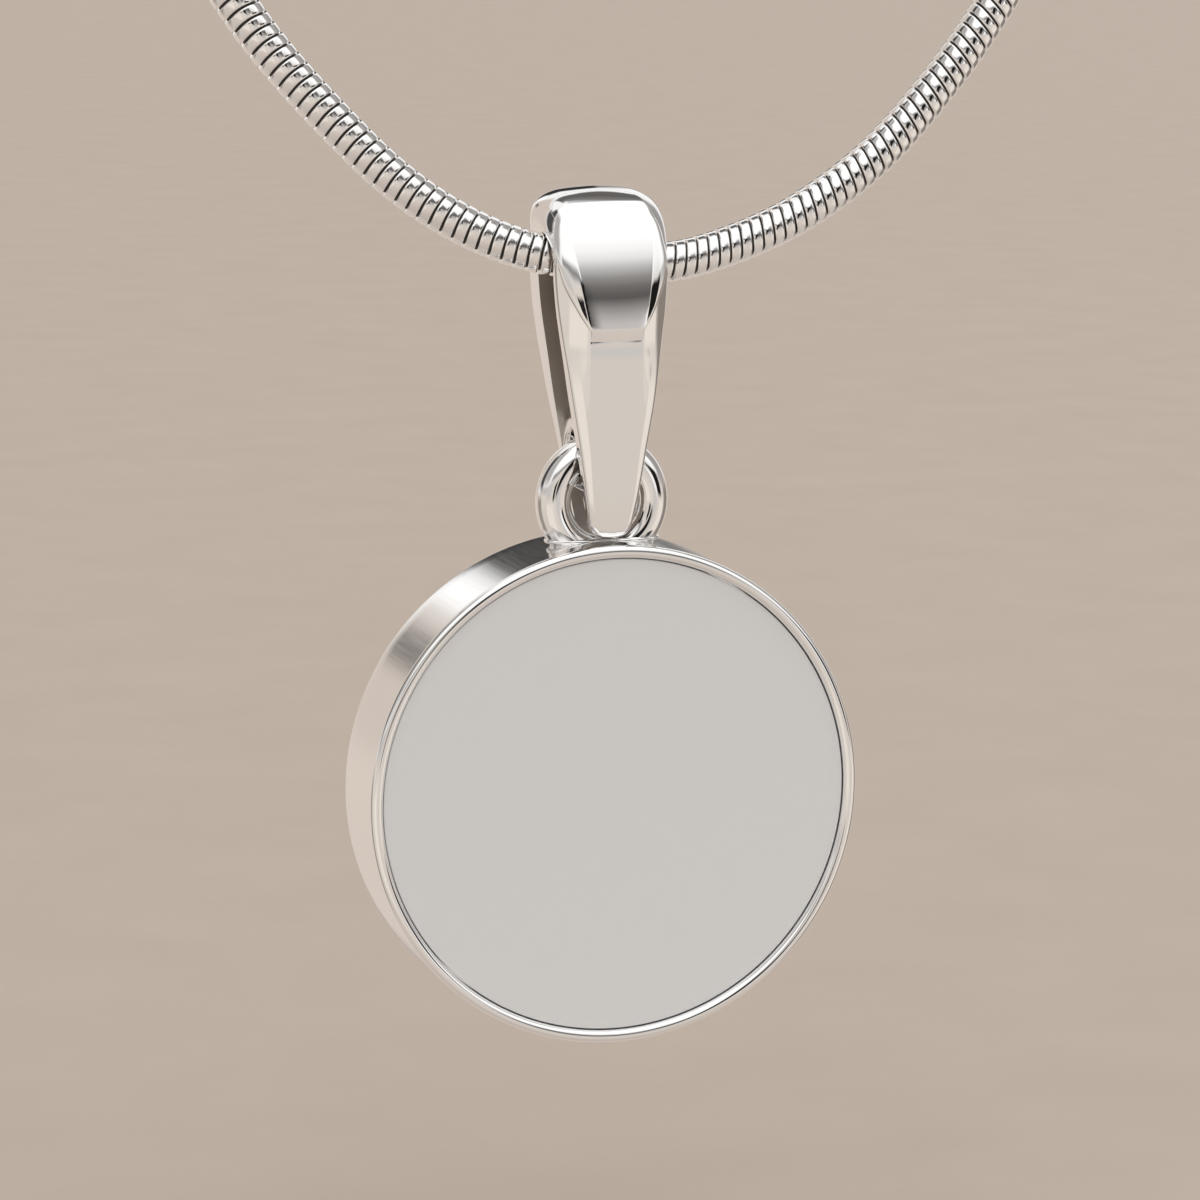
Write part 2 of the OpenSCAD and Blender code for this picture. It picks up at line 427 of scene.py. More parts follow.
# The front strap's round face under the crown: heights between which the facets turn into it, half width of
# its flat middle, slope and bend outside that, and the rounding where the slope starts
ROUND_LOW_Z = -7.0
ROUND_HIGH_Z = -3.0
FLAT_HALF = 1.04
ROUND_SLOPE = 0.2
ROUND_BEND = 0.35
ROUND_START_R = 0.03

# How far the front strap stays below the crown's skin, and how far inside the crown's sides that ends
UNDER_CROWN = 0.06
UNDER_CROWN_SIDE = 0.04

# The bar in the eye: height of its lower edge over the ring's middle, and radius of its top
BAR_LOW = 0.45
BAR_R = 1.08

# The least half width that is used, the rounding of a crease, and the step for lines and their slopes
LEAST_HALF = 0.01
CREASE_R = 0.02
PROBE = 0.01

crown_half, crown_crease, crown_angle, crown_fall, crown_even = (curve(CROWN, i) for i in (1, 2, 3, 4, 5))
strap_half, strap_front, strap_rear, strap_facet = (curve(STRAPS, i) for i in (1, 2, 3, 4))


def crown_line():
    """The crown's outer line as a row of y and a row of z."""
    lengths = np.arange(0, CROWN_TILT[-1][0], PROBE)
    tilts = np.radians([smooth_value(CROWN_TILT, s, 1) for s in lengths])
    middle = (tilts[1:] + tilts[:-1]) / 2
    y = -CROWN_FOOT_FRONT + np.concatenate([[0], np.cumsum(np.sin(middle) * PROBE)])
    z = CROWN_FOOT_Z + np.concatenate([[0], np.cumsum(np.cos(middle) * PROBE)])
    return y, z


LINE_Y, LINE_Z = crown_line()
TOP_INDEX = int(np.argmax(LINE_Z))
LINE_ANGLE = np.unwrap(np.arctan2(LINE_Z, -LINE_Y))
LINE_RADIUS = np.hypot(LINE_Y, LINE_Z)


def crown_front(z):
    """How far the crown's middle stands in front of the chain at a height."""
    below = np.clip((CROWN_FOOT_Z - z) / (CROWN_FOOT_Z - STEP_Z), 0, 1)
    foot = CROWN_FOOT_FRONT - below**FOOT_RECESS_POWER * FOOT_RECESS
    line = np.interp(z, LINE_Z[:TOP_INDEX], -LINE_Y[:TOP_INDEX])
    return np.where(z < CROWN_FOOT_Z, foot, line)


def smooth_max(a, b, width):
    """The larger of two distances, rounded where they meet."""
    h = np.maximum(width - np.abs(a - b), 0) / width
    return np.maximum(a, b) + h**3 * width / 6


def side_distance(x, z, half):
    """Distance outside a side whose half width changes with height."""
    steep = (half(z + PROBE) - half(z - PROBE)) / (2 * PROBE)
    return (np.abs(x) - half(z)) / np.sqrt(1 + steep**2)


def softened(past, radius):
    """A distance past a crease, rounded where it starts."""
    return np.sqrt(past**2 + radius**2) - radius


def crown_sag(x, z):
    """How far the crown's skin lies behind its middle line, away from the middle."""
    half, crease, fall, even = crown_half(z), crown_crease(z), crown_fall(z), crown_even(z)
    slope = np.tan(np.radians(crown_angle(z)))
    width = np.maximum(half - crease - even, EDGE_MIN_W)
    past = np.maximum(np.abs(x) - crease, 0)
    bend = np.maximum(fall - CROWN_SAG - slope * (half - crease), 0) / width**2
    late = np.maximum(past - even, 0)
    middle = CROWN_SAG * np.minimum(np.abs(x) / crease, 1.0) ** 2
    return middle + slope * softened(past, CREASE_R) + bend * late**2


def crown_rounding(z):
    """Width of the rounding between the crown's face and its sides."""
    return CROWN_CORNER_R + CROWN_CORNER_GROWTH * smooth_step(z, CORNER_LOW_Z, CORNER_HIGH_Z)


def crown_front_skin(x, out, z):
    """Distance outside the crown, where it lies on the front strap."""
    lean = (crown_front(z + PROBE) - crown_front(z - PROBE)) / (2 * PROBE)
    face = (out - crown_front(z)) / np.sqrt(1 + lean**2) + crown_sag(x, z)
    return smooth_max(face, side_distance(x, z, crown_half), crown_rounding(z))


def crown_arch_skin(x, out, angle):
    """Distance outside the crown over the chain, at an angle from the front up to the rear."""
    z = out * math.sin(angle)
    before, reach, after = np.interp([angle - PROBE, angle, angle + PROBE], LINE_ANGLE, LINE_RADIUS)
    face = (out - reach) / math.sqrt(1 + ((after - before) / (2 * PROBE * reach)) ** 2) + crown_sag(x, z)
    return smooth_max(face, side_distance(x, z, crown_half), crown_rounding(z))


def strap_sag(x, z, rear):
    """How far a strap's skin lies behind its middle, away from the middle."""
    facet = strap_facet(z)
    inner = np.maximum(facet - BAND_W, LEAST_HALF)
    past = np.maximum(np.abs(x) - facet, 0)
    band = np.minimum(np.maximum(np.abs(x) - inner, 0), BAND_W)
    slope = REAR_FACET_SLOPE if rear else FRONT_FACET_SLOPE
    curved = FACE_CURVE * (x / strap_half(z)) ** 2
    faceted = slope * softened(past, CREASE_R) + BAND_SLOPE * band + curved
    if rear:
        return faceted
    past = np.maximum(np.abs(x) - FLAT_HALF, 0)
    rounded = ROUND_SLOPE * softened(past, ROUND_START_R) + ROUND_BEND * past**2
    return mix(faceted, rounded, smooth_step(z, ROUND_LOW_Z, ROUND_HIGH_Z))


def strap_skin(x, out, z, rear):
    """Distance outside the front or the rear strap."""
    face = out - (strap_rear if rear else strap_front)(z) + strap_sag(x, z, rear)
    if not rear:
        covered = (z > STEP_Z) & (np.abs(x) < crown_half(z) - UNDER_CROWN_SIDE)
        under = out - crown_front(z) + crown_sag(x, z) + UNDER_CROWN
        face = np.maximum(face, np.where(covered, under, -np.inf))
    return smooth_max(face, side_distance(x, z, strap_half), STRAP_CORNER_R)


# Largest shares of a section's half width at which its creases lie
CREASE_SHARES = (0.6, 0.85)

# Where a section is narrow: its face as a share of its half width, its middle as a share of its facet, and
# a crease's rounding as a share of its face
NARROW_FACE = 0.4
NARROW_BAND = 0.5
NARROW_CREASE_R = 0.04

# Points of a half section: on each flat, from the last crease to the corner, round it and down the side,
# and of the whole section along the slot
FLAT_POINTS = 9
EDGE_POINTS = 12
CORNER_POINTS = 14
SIDE_POINTS = 6
SLOT_POINTS = 7

# The skin is found by halving on rays of this length
RAY_REACH = 4.0
HALVINGS = 34


def section_rays(creases, limit, level, floor):
    """Rays across one half of a section: out to its face, round its corner, and aside down to the slot.

    Each is a place across and outwards, and a direction across and outwards.
    """
    soft = min(CREASE_R, limit * NARROW_CREASE_R)
    across, start = [], 0.0
    for crease, share in zip(creases, CREASE_SHARES):
        crease = min(crease, limit * share)
        across += [*np.linspace(start, crease - soft, FLAT_POINTS)]
        across += [crease - soft / 3, crease, crease + soft / 3]
        start = crease + soft
    across += [*np.linspace(start, limit, EDGE_POINTS)]
    rows = [(x, level, 0.0, 1.0) for x in across]
    corner = np.radians(np.linspace(6, 90, CORNER_POINTS))
    rows += [(limit, level, math.sin(a), math.cos(a)) for a in corner]
    rows += [(0.0, depth, 1.0, 0.0) for depth in np.linspace(level, floor, SIDE_POINTS)[1:]]
    return np.array(rows)


def section(rays, floor, outside, place):
    """A section's points from one edge of the slot round to the other, and those along the slot."""
    x0, out0, step_x, step_out = rays.T
    near, far = np.zeros_like(x0), np.full_like(x0, RAY_REACH)
    for _ in range(HALVINGS):
        middle = (near + far) / 2
        inside = outside(x0 + middle * step_x, out0 + middle * step_out) < 0
        near, far = np.where(inside, middle, near), np.where(inside, far, middle)
    x, out = x0 + near * step_x, out0 + near * step_out
    x = np.append(x, max(x[-1] - SLOT_EDGE_R, LEAST_HALF))
    out = np.append(out, floor)
    row = [place(a, b) for a, b in zip(np.concatenate([-x[:0:-1], x]), np.concatenate([out[:0:-1], out]))]
    first, last = np.array(row[0]), np.array(row[-1])
    return row, [tuple(mix(first, last, k)) for k in np.linspace(0, 1, SLOT_POINTS)]


# How far the eye's inside lies from the chain's middle, and how far the slot's cover stays off the slot
EYE_DEPTH = 0.95
SLOT_COVER = 0.05

# Rays for a corner start at this share of its rounding from the skin, and those of a strap's thin end at
# least this far below its face
CORNER_SHARE = 0.9
LEAST_DEPTH = 0.04

# Over the chain, the corner of a section lies at this share of its middle's height
ARCH_CORNER_SHARE = 0.85


def strap_section(z, rear):
    """A strap's section at a height."""
    half, facet = float(strap_half(z)), float(strap_facet(z))
    if z < RING_Z + BAR_LOW:
        floor = EYE_DEPTH
    else:
        floor = SLOT_R if z <= 0 else SLOT_R + SLOT_COVER
    limit = max(half - STRAP_CORNER_R, half * NARROW_FACE)
    depth = float((strap_rear if rear else strap_front)(z)) - float(strap_sag(limit, z, rear))
    level = min(max(depth - STRAP_CORNER_R, floor + SLOT_EDGE_R), depth - LEAST_DEPTH)
    creases = [max(facet - BAND_W, facet * NARROW_BAND), facet]
    rays = section_rays(creases, limit, level, min(floor + SLOT_EDGE_R, level))
    side = 1 if rear else -1
    return section(rays, floor, lambda x, out: strap_skin(x, out, np.full_like(x, z), rear),
                   lambda a, b: (a, side * b, z))


def crown_front_section(z):
    """The crown's section at a height, where it lies on the front strap."""
    corner = float(crown_rounding(z)) * CORNER_SHARE
    limit = float(crown_half(z)) - corner
    level = float(crown_front(z)) - float(crown_sag(limit, z)) - corner
    floor = SLOT_R + SLOT_COVER
    edge = floor + SLOT_EDGE_R
    rays = section_rays([float(crown_crease(z))], limit, max(level, edge + SLOT_EDGE_R), edge)
    return section(rays, floor, lambda x, out: crown_front_skin(x, out, np.full_like(x, z)),
                   lambda a, b: (a, -b, z))


def crown_arch_section(angle):
    """The crown's section over the chain, at an angle from the front up to the rear."""
    reach = float(np.interp(angle, LINE_ANGLE, LINE_RADIUS))
    corner_z = reach * math.sin(angle) * ARCH_CORNER_SHARE
    corner = float(crown_rounding(corner_z)) * CORNER_SHARE
    limit = float(crown_half(corner_z)) - corner
    level = reach - float(crown_sag(limit, corner_z)) - corner
    rays = section_rays([float(crown_crease(corner_z))], limit, level, SLOT_R + SLOT_EDGE_R)
    cos, sin = math.cos(angle), math.sin(angle)
    return section(rays, SLOT_R, lambda x, out: crown_arch_skin(x, out, angle),
                   lambda a, b: (a, -b * cos, b * sin))


def add_sections(name, sections):
    """A skin over sections, closed at both ends, and the slot's side of it."""
    outer, inner = (np.array(rows) for rows in zip(*sections))
    count, width = outer.shape[:2]
    points = outer.reshape(-1, 3) + PIVOT
    faces = grid_faces(count, width) + end_caps(count, width)
    add_piece(name, points, faces, mirror, "bail", "bail", crease=35)
    points = inner.reshape(-1, 3) + PIVOT
    faces = grid_faces(count, SLOT_POINTS)
    # The slot's side is rough cast metal, and its darker tone is painted shade
    add_piece(f"{name}_slot", points, faces, cast_shaded_metal, "bail", "bail")


# Heights of sections: close together at the tip, then in runs of first height, last height and count, with
# narrow gaps where the inside or the crown's foot steps
TIP_HEIGHTS = [
    TIP_END, -10.858, -10.852, -10.845, -10.835, -10.82, -10.8, -10.77, -10.74, -10.7, -10.65, -10.58,
]
STRAP_RUNS = [(-10.5, -9.07, 22), (-9.04, -3.0, 70), (-2.95, 0, 46), (0.05, STRAP_TOP, 2)]
FOOT_RUNS = [(STEP_Z, CROWN_FOOT_Z - 0.02, 14), (CROWN_FOOT_Z, CROWN_FOOT_Z + 0.02, 2),
             (CROWN_FOOT_Z + 0.06, -0.03, 84)]
ARCH_SECTIONS = 190


def run_heights(runs):
    """Heights of all sections of some runs."""
    return [z for low, high, count in runs for z in np.linspace(low, high, count)]


def build_bail():
    """The two straps and the crown that covers the front one's top and arches over the chain."""
    strap = [*TIP_HEIGHTS, *run_heights(STRAP_RUNS)]
    add_sections("front_strap", [strap_section(z, False) for z in strap])
    add_sections("rear_strap", [strap_section(z, True) for z in strap])
    crown = [crown_front_section(z) for z in run_heights(FOOT_RUNS)]
    crown += [crown_arch_section(angle) for angle in np.radians(np.linspace(0, 180, ARCH_SECTIONS))]
    add_sections("crown", crown)


def build_web():
    """The round web over the ring, between the two straps."""
    outer, inner, half, corner, levels = 1.35, 0.76, 1.28, 0.2, 72
    section = []
    for x, r, start in ((half, outer, 90), (half, inner, 0), (-half, inner, -90), (-half, outer, -180)):
        centre = (x - math.copysign(corner, x), r - corner if r == outer else r + corner)
        section += arc(centre, corner, start, start - 90, 8)
    turns = np.radians(np.linspace(-14, 194, levels))
    rows = [(x, -r * math.cos(a), ARCH_Z + r * math.sin(a)) for a in turns for x, r in section]
    faces = grid_faces(levels, len(section), close_columns=True)
    add_piece("eye_web", np.array(rows) + PIVOT, faces, mirror, "bail", "bail")


def build_bar():
    """The bar that the ring hangs from, with a round top, a flat underside and small round edges."""
    front, rear, slices, edge, inset = -1.2, 1.05, 4, 0.08, 0.1
    low_angle = math.asin(BAR_LOW / BAR_R)
    side = BAR_R * math.cos(low_angle) - inset
    start = math.degrees(low_angle) + 3
    outline = arc((0, 0), BAR_R, start, 180 - start, 40)
    outline += arc((-side, BAR_LOW + edge), edge, 180, 270, 6)
    outline += arc((side, BAR_LOW + edge), edge, 270, 360, 6)
    rows = [(x, y, RING_Z + z) for y in np.linspace(front, rear, slices) for x, z in outline]
    faces = grid_faces(slices, len(outline), close_columns=True) + end_caps(slices, len(outline))
    add_piece("eye_bar", np.array(rows) + PIVOT, faces, mirror, "bail", "bail", crease=50)


def build_seat():
    """The thin seat of solder that the ring's foot stands in, a rounded rectangle from above."""
    half, wide, thick, sides, levels = 2.34, 0.84, 0.17, 96, 13
    power_x, power_y = 0.9, 0.75
    middle = DISC_Z + DISC_R - thick / 6
    rows = []
    for tilt in np.radians(np.linspace(90, -90, levels)):
        inset = (1 - math.cos(tilt)) * thick / 2
        z = middle + math.sin(tilt) * thick / 2
        for k in range(sides):
            turn = 2 * math.pi * k / sides
            cos, sin = math.cos(turn), math.sin(turn)
            x = math.copysign(abs(cos) ** power_x, cos) * (half - inset)
            y = math.copysign(abs(sin) ** power_y, sin) * (wide - inset)
            rows.append((x, y, z))
    faces = grid_faces(levels, sides, close_columns=True)
    faces += [cap[::-1] for cap in end_caps(levels, sides)]
    add_piece("solder_seat", np.array(rows) + PIVOT, faces, mirror, "disc", "case", crease=60)


# The chain

LINK_PITCH_RIGHT = 0.475
LINK_PITCH_LEFT = 0.515
LOOP_NORMAL = np.array([0, 90, -120]) / 150
ROUTE_STEPS = 24
TANGENT_REACH = 0.3
BAIL_STRETCH = 6

# The dark core between the links: a tube whose dark colour is painted shade in the seams
SHADE_CORE_R = 0.65
SHADE_CORE_INSET = 0.02
SHADE_CORE_RINGS = 900
SHADE_CORE_SIDES = 16

# A link's outline along the chain: share of half its pitch, and height
FINE_LINK = [
    (-0.84, -0.17), (-0.85, -0.10), (-0.83, -0.05), (-0.77, -0.02), (-0.64, -0.005), (-0.4, 0),
    (0.4, 0), (0.64, -0.005), (0.77, -0.02), (0.83, -0.05), (0.85, -0.10), (0.84, -0.17),
]
PLAIN_LINK = [
    (-0.88, -0.15), (-0.87, -0.08), (-0.7, -0.035), (0, 0), (0.7, -0.035), (0.87, -0.08), (0.88, -0.15),
]
FINE_SIDES = 48
PLAIN_SIDES = 22

# Links are fine up to this far aside of the bail and above it
FINE_ASIDE = 24
FINE_ABOVE = 28

# The seams wave on the left of the bail and lean on its right: wave and lean in pitches, and which way
# they face in degrees. They change over a distance to both sides of the bail's middle.
LEFT_SEAMS = (0.2, 0.0, 42)
RIGHT_SEAMS = (0.03, 0.45, 55)
SEAM_CHANGE = 3


def route_points(steps):
    """A smooth curve through the places of the route, with a number of steps between two places."""
    points = np.array(ROUTE, float)
    count = len(points)
    out = []
    for i in range(count - 1):
        a, b, c, d = (points[min(max(k, 0), count - 1)] for k in (i - 1, i, i + 1, i + 2))
        for k in range(steps):
            t = k / steps
            out.append(0.5 * (2 * b + (c - a) * t + (2 * a - 5 * b + 4 * c - d) * t**2
                              + (3 * b - a - 3 * c + d) * t**3))
    out.append(points[-1])
    return np.array(out)


ROUTE_LINE = route_points(ROUTE_STEPS)
ROUTE_LENGTHS = np.concatenate([[0], np.cumsum(np.linalg.norm(np.diff(ROUTE_LINE, axis=0), axis=1))])
ROUTE_TOTAL = float(ROUTE_LENGTHS[-1])


def route_at(s):
    """The place at a length along the route."""
    return np.array([np.interp(s, ROUTE_LENGTHS, ROUTE_LINE[:, k]) for k in range(3)])


def route_axes(s):
    """Place, direction and two cross directions of the route at a length along it."""
    tangent = route_at(min(s + TANGENT_REACH, ROUTE_TOTAL)) - route_at(max(s - TANGENT_REACH, 0))
    tangent /= np.linalg.norm(tangent)
    u = np.cross(tangent, LOOP_NORMAL)
    u /= np.linalg.norm(u)
    return route_at(s), tangent, u, np.cross(tangent, u)


def link_ends():
    """Lengths along the route at which the links end. The pitch changes at the bail's middle."""
    near_bail = np.abs(ROUTE_LINE[:, 2] - PIVOT[2]) < BAIL_STRETCH
    bail = float(np.interp(0, -ROUTE_LINE[near_bail, 0], ROUTE_LENGTHS[near_bail]))
    right = np.linspace(0, bail, round(bail / LINK_PITCH_RIGHT) + 1)
    left = np.linspace(bail, ROUTE_TOTAL, round((ROUTE_TOTAL - bail) / LINK_PITCH_LEFT) + 1)
    return np.concatenate([right, left[1:]])


def build_links():
    """The links, joined in four pieces: finer ones near the bail and plainer ones round the neck."""
    ends = link_ends()
    count = len(ends) - 1
    parts = {}
    for n in range(count):
        pitch = ends[n + 1] - ends[n]
        here, tangent, u, v = route_axes((ends[n] + ends[n + 1]) / 2)
        aside, _, above = here - PIVOT
        fine = abs(aside) < FINE_ASIDE and above < FINE_ABOVE
        outline, sides = (FINE_LINK, FINE_SIDES) if fine else (PLAIN_LINK, PLAIN_SIDES)
        group = f"{'front' if fine else 'neck'}_{'right' if aside > 0 else 'left'}"
        points, faces = parts.setdefault(group, ([], []))
        start = len(points)
        share_right = float(np.clip((aside + SEAM_CHANGE) / (2 * SEAM_CHANGE), 0, 1))
        wave, lean, facing = (mix(a, b, share_right) for a, b in zip(LEFT_SEAMS, RIGHT_SEAMS))
        # The first and the last link have straight seams, where they meet the clasp
        if n in (0, count - 1):
            wave = lean = 0.0
        for share, height in outline:
            for k in range(sides):
                a = 2 * math.pi * k / sides
                turn = a - math.radians(facing)
                along = (share / 2 + wave * math.cos(2 * turn) - lean * math.sin(turn)) * pitch
                radius = CHAIN_R + height
                points.append(here + radius * (math.cos(a) * u + math.sin(a) * v) + along * tangent)
        faces += grid_faces(len(outline), sides, close_columns=True, start=start)
    for group, (points, faces) in parts.items():
        add_piece(f"links_{group}", points, faces, link_metal, "chain", "chain")


def build_shade_core():
    """The dark tube that shows in the seams between the links, as painted shade."""
    points = []
    for s in np.linspace(SHADE_CORE_INSET, ROUTE_TOTAL - SHADE_CORE_INSET, SHADE_CORE_RINGS):
        here, _, u, v = route_axes(s)
        for k in range(SHADE_CORE_SIDES):
            a = 2 * math.pi * k / SHADE_CORE_SIDES
            points.append(here + SHADE_CORE_R * (math.cos(a) * u + math.sin(a) * v))
    faces = grid_faces(SHADE_CORE_RINGS, SHADE_CORE_SIDES, close_columns=True) + end_caps(SHADE_CORE_RINGS, SHADE_CORE_SIDES)
    add_piece("chain_shade_core", points, faces, seam_shade_metal, "chain", "chain", crease=60)


# The clasp's ends taper from its barrel to a neck, and each edge is cut by a small inset and length
CLASP_NECK_R = 1.05
CLASP_TAPER_L = 1.2
NECK_CUT = (0.05, 0.03)
BARREL_CUT = (0.04, 0.06)
CLASP_SIDES = 96


def build_clasp():
    """The plain barrel at the nape, whose two ends are alike."""
    half = CLASP_L / 2
    barrel = half - CLASP_TAPER_L
    end = [(0, half), (CLASP_NECK_R, half), (CLASP_NECK_R + NECK_CUT[0], half - NECK_CUT[1])]
    end += [(CLASP_R - BARREL_CUT[0], barrel), (CLASP_R, barrel - BARREL_CUT[1])]
    profile = [(radius, -along) for radius, along in end] + end[::-1]
    points, faces = lathe(profile, np.zeros(3), CLASP_SIDES, axis="x")
    add_piece("barrel_clasp", points, faces, mirror, "chain", "clasp", crease=30)


# Camera, light and floor

def build_camera():
    """The camera, moved aside from where it looks by small steps to its right and up."""
    a, e = math.radians(CAMERA_AZIMUTH), math.radians(CAMERA_ELEVATION)
    back = np.array([math.sin(a) * math.cos(e), -math.cos(a) * math.cos(e), math.sin(e)])
    right = np.array([math.cos(a), math.sin(a), 0])
    up = np.cross(back, right)
    place = CAMERA_TARGET + back * CAMERA_DISTANCE + right * CAMERA_RIGHT + up * CAMERA_UP
    data = bpy.data.cameras.new("camera")
    data.lens = LENS
    data.sensor_width = SENSOR
    data.clip_start = 0.005
    data.clip_end = 20
    camera = bpy.data.objects.new("camera", data)
    matrix = Matrix((right, up, back)).transposed().to_4x4()
    matrix.translation = Vector(place * MM)
    camera.matrix_world = matrix
    bpy.context.collection.objects.link(camera)
    bpy.context.scene.camera = camera


# Tints of the studio's light
BEIGE = (0.66, 0.58, 0.52)
PALE = (0.74, 0.68, 0.62)
WARM = (1.0, 0.95, 0.92)
WHITE = (1, 1, 1)

# The studio's light by height: degrees above the horizon, tint and strength. The front, the sides and the
# back have a table each, and so has the narrow strip that shows in the middle of the crown.
CROWN_STUDIO = [
    (-90, BEIGE, 0.8), (-40, BEIGE, 1.0), (-22, PALE, 0.93), (-10.5, PALE, 0.93), (-8.5, WARM, 0.62),
    (-3, WARM, 0.56), (1, WARM, 0.43), (5, WARM, 0.28), (7.3, WARM, 0.185), (9.4, WARM, 0.11),
    (11.5, WARM, 0.125), (16, WARM, 0.18), (21, WARM, 0.31), (25.6, WHITE, 0.54), (30, WHITE, 0.84),
    (35, WHITE, 1.0), (50, WHITE, 1.2), (90, WHITE, 1.4),
]
FRONT_STUDIO = [
    (-90, BEIGE, 0.8), (-40, BEIGE, 1.0), (-22, PALE, 1.0), (11, PALE, 1.0), (16, WHITE, 0.85),
    (22, WHITE, 1.0), (50, WHITE, 1.2), (90, WHITE, 1.4),
]
SIDE_STUDIO = [
    (-90, BEIGE, 0.8), (-30, PALE, 0.9), (0, PALE, 1.0), (6, WARM, 0.55), (9, WARM, 0.6), (13, WHITE, 1.0),
    (40, WHITE, 1.2), (90, WHITE, 1.4),
]
BACK_STUDIO = [
    (-90, BEIGE, 0.9), (-10, BEIGE, 1.1), (-2, BEIGE, 1.2), (3, WHITE, 1.0), (44, WHITE, 1.0),
    (49, WARM, 0.14), (60, WARM, 0.13), (68, WARM, 0.22), (73, WHITE, 0.7), (78, WHITE, 1.1),
    (90, WHITE, 1.4),
]

# Azimuth of the crown's strip, and where each table gives way to the next: degrees from the strip's middle,
# and degrees from the front
CROWN_AZIMUTH = 18.0
STRIP_ENDS = (12, 17)
FRONT_ENDS = (50, 62)
SIDES_END = (112, 126)

# Patches of the studio, in degrees: left, right, low, high and soft edge, then tint and strength. Left and
# right are azimuths from the front towards the right.
PATCHES = [
    (-58, -16, -32, -8.5, 3, PALE, 1.15),
    (46, 82, -32, -8.5, 3, PALE, 1.15),
    (-40, 8, 20, 60, 2.5, WHITE, 1.1),
    (-50, 2, 15, 23, 4, WARM, 0.3),
    (-4, 12, -6, 18, 2, WARM, 0.012),
    (-20, -9, -6.5, 5, 2, WARM, 0.015),
    (-60, -32, -3, 12, 6, WARM, 0.6),
    (24, 36, -7, 1, 2, WHITE, 1.0),
    (37, 62, -6.5, 11, 2, WARM, 0.012),
    (-100, -62, 14, 66, 10, WARM, 0.45),
    (-130, -100, 8, 64, 5, WARM, 0.08),
    (78, 130, 4, 58, 8, WARM, 0.35),
    (84, 125, -40, 2, 6, BEIGE, 0.4),
    (-130, -98, -40, -2, 6, BEIGE, 0.5),
    (188, 228, -6, 42, 5, BEIGE, 1.0),
    (196, 240, 46, 76, 5, WHITE, 1.0),
    (161, 179, 4, 24, 2.5, WARM, 0.04),
    (150, 163, -4, 5, 2.5, WARM, 0.12),
    (183, 188, 15, 24, 1.5, WHITE, 1.2),
    (192, 198, 8, 15.5, 2, WARM, 0.15),
    (152, 172, -18, -6, 4, WARM, 0.35),
]


def studio_ramp(nodes, links, height, table):
    """A table of the studio's light as a ramp over the sine of the height, from 0 to 1."""
    ramp = nodes.new("ShaderNodeValToRGB")
    elements = ramp.color_ramp.elements
    while len(elements) > 1:
        elements.remove(elements[-1])
    for i, (degrees, tint, strength) in enumerate(table):
        place = (math.sin(math.radians(degrees)) + 1) / 2
        element = elements[0] if i == 0 else elements.new(place)
        element.position = place
        element.color = (*[c * strength for c in tint], 1)
    links.new(height, ramp.inputs["Fac"])
    return ramp.outputs["Color"]


def ramp_between(nodes, links, source, low, high, rising=True):
    """1 past a soft edge and 0 before it, or the other way round."""
    node = nodes.new("ShaderNodeMapRange")
    node.interpolation_type = "SMOOTHSTEP"
    node.inputs["From Min"].default_value = low
    node.inputs["From Max"].default_value = high
    node.inputs["To Min"].default_value = 0.0 if rising else 1.0
    node.inputs["To Max"].default_value = 1.0 if rising else 0.0
    links.new(source, node.inputs["Value"])
    return node.outputs["Result"]


def math_node(nodes, links, operation, *values):
    """A maths node on numbers and on other nodes' outputs."""
    node = nodes.new("ShaderNodeMath")
    node.operation = operation
    for socket, value in zip(node.inputs, values):
        if isinstance(value, (int, float)):
            socket.default_value = value
        else:
            links.new(value, socket)
    return node.outputs["Value"]


# Sockets for colours of a mix node
MIX_FIRST = 6
MIX_SECOND = 7
MIX_RESULT = 2


def blend(nodes, links, factor, first, second):
    """The first colour where the factor is 0, and the second where it is 1."""
    node = nodes.new("ShaderNodeMix")
    node.data_type = "RGBA"
    links.new(factor, node.inputs["Factor"])
    for index, value in ((MIX_FIRST, first), (MIX_SECOND, second)):
        if isinstance(value, tuple):
            node.inputs[index].default_value = value
        else:
            links.new(value, node.inputs[index])
    return node.outputs[MIX_RESULT]


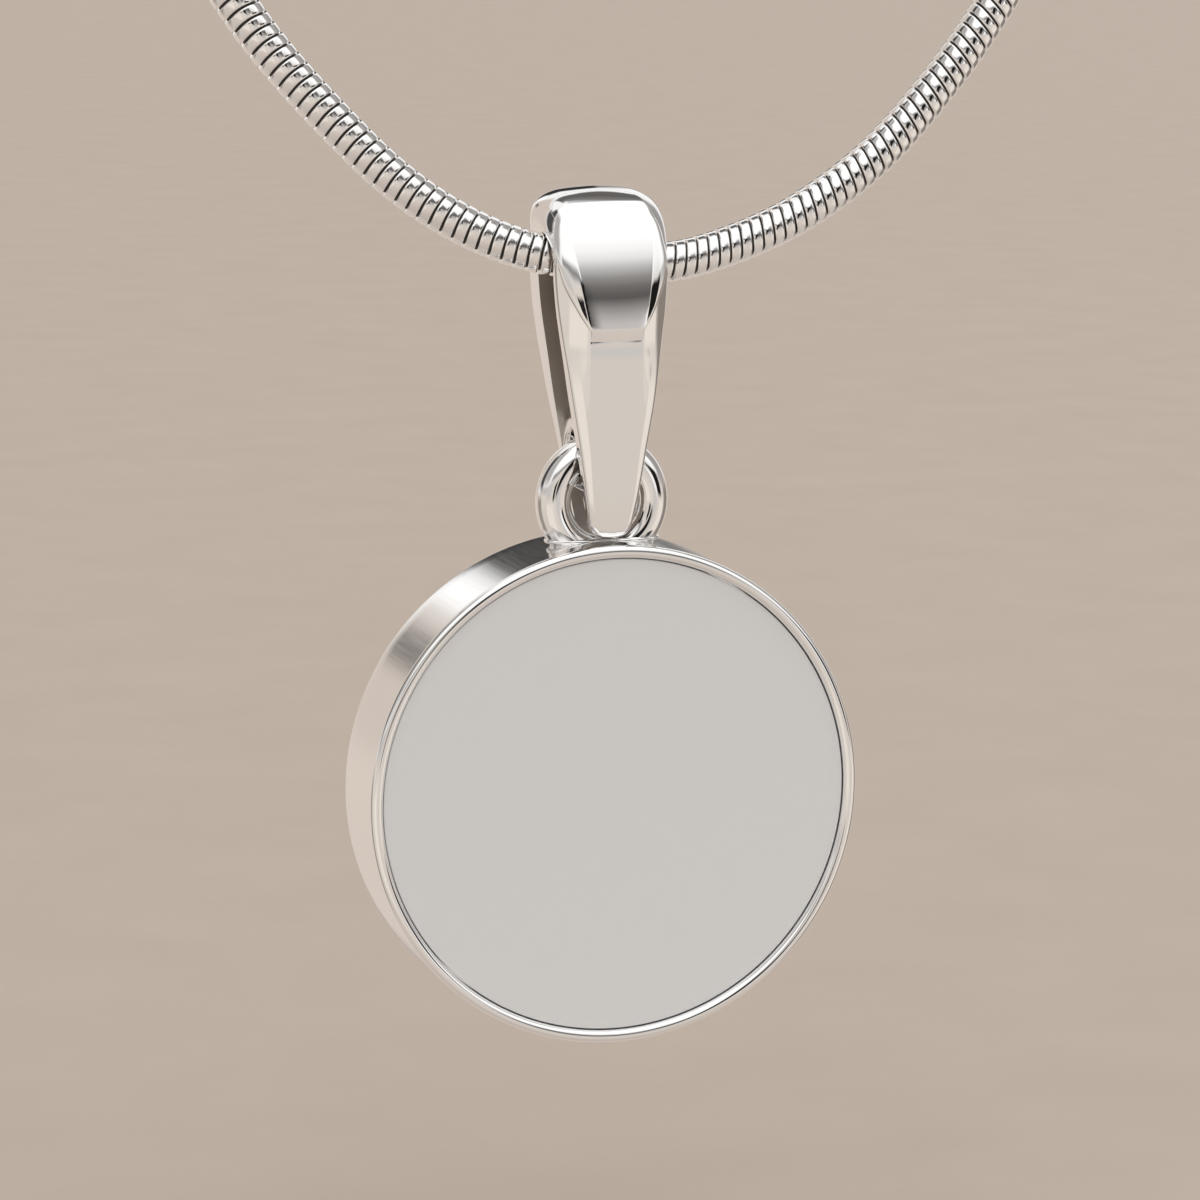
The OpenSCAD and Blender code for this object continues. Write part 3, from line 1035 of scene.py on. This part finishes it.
def build_studio():
    """The studio's soft light, as a world without lamps."""
    world = bpy.data.worlds.new("studio")
    bpy.context.scene.world = world
    world.use_nodes = True
    nodes, links = world.node_tree.nodes, world.node_tree.links
    place = nodes.new("ShaderNodeTexCoord")
    parts = nodes.new("ShaderNodeSeparateXYZ")
    links.new(place.outputs["Generated"], parts.inputs["Vector"])
    x, y, z = (parts.outputs[k] for k in "XYZ")
    scaled = nodes.new("ShaderNodeMapRange")
    scaled.inputs["From Min"].default_value = -1
    links.new(z, scaled.inputs["Value"])
    height = scaled.outputs["Result"]
    tables = (FRONT_STUDIO, SIDE_STUDIO, BACK_STUDIO, CROWN_STUDIO)
    front, side, back, crown = (studio_ramp(nodes, links, height, table) for table in tables)

    # Azimuth in degrees, 0 towards the front and growing towards the right, to 180 and to 360
    turn = math_node(nodes, links, "ARCTAN2", x, math_node(nodes, links, "MULTIPLY", y, -1.0))
    turn = math_node(nodes, links, "MULTIPLY", turn, 180 / math.pi)
    full = math_node(nodes, links, "WRAP", turn, 360.0, 0.0)
    rise = math_node(nodes, links, "MULTIPLY", math_node(nodes, links, "ARCSINE", z), 180 / math.pi)
    aside = math_node(nodes, links, "ABSOLUTE", turn)
    middle = math_node(nodes, links, "ABSOLUTE", math_node(nodes, links, "SUBTRACT", turn, CROWN_AZIMUTH))
    front = blend(nodes, links, ramp_between(nodes, links, middle, *STRIP_ENDS), crown, front)
    color = blend(nodes, links, ramp_between(nodes, links, aside, *FRONT_ENDS), front, side)
    color = blend(nodes, links, ramp_between(nodes, links, aside, *SIDES_END), color, back)

    for left, right, low, high, soft, tint, strength in PATCHES:
        around = turn if left < 0 else full
        mask = ramp_between(nodes, links, around, left - soft, left + soft)
        for source, edge, rising in ((around, right, False), (rise, low, True), (rise, high, False)):
            side_mask = ramp_between(nodes, links, source, edge - soft, edge + soft, rising)
            mask = math_node(nodes, links, "MULTIPLY", mask, side_mask)
        color = blend(nodes, links, mask, color, (*[c * strength for c in tint], 1))
    links.new(color, nodes["Background"].inputs["Color"])


# The floor, a little below the part, in metres
FLOOR_HALF = 4.0
FLOOR_BELOW = 0.012
FLOOR_DARK = (0.60, 0.50, 0.415)
FLOOR_LIGHT = (0.66, 0.56, 0.47)


def build_floor():
    z = cad_low.z - FLOOR_BELOW
    corners = [(x * FLOOR_HALF, y * FLOOR_HALF, z) for x, y in ((-1, -1), (1, -1), (1, 1), (-1, 1))]
    mesh = bpy.data.meshes.new("floor")
    mesh.from_pydata(corners, [], [(0, 1, 2, 3)])
    floor = bpy.data.objects.new("floor", mesh)
    bpy.context.collection.objects.link(floor)
    material, nodes, links, shader = new_material("floor", FLOOR_LIGHT, metallic=0.0, roughness=0.8)
    grain = object_noise(nodes, links, scale=120, detail=4)
    color = blend(nodes, links, grain.outputs["Fac"], (*FLOOR_DARK, 1), (*FLOOR_LIGHT, 1))
    links.new(color, shader.inputs["Base Color"])
    mesh.materials.append(material)
    floor.visible_glossy = False


bpy.context.scene.view_settings.view_transform = "Standard"
build_camera()
build_studio()
build_floor()
build_rim()
build_wall()
build_plate()
build_ring()
build_seat()
build_bail()
build_web()
build_bar()
build_links()
build_shade_core()
build_clasp()
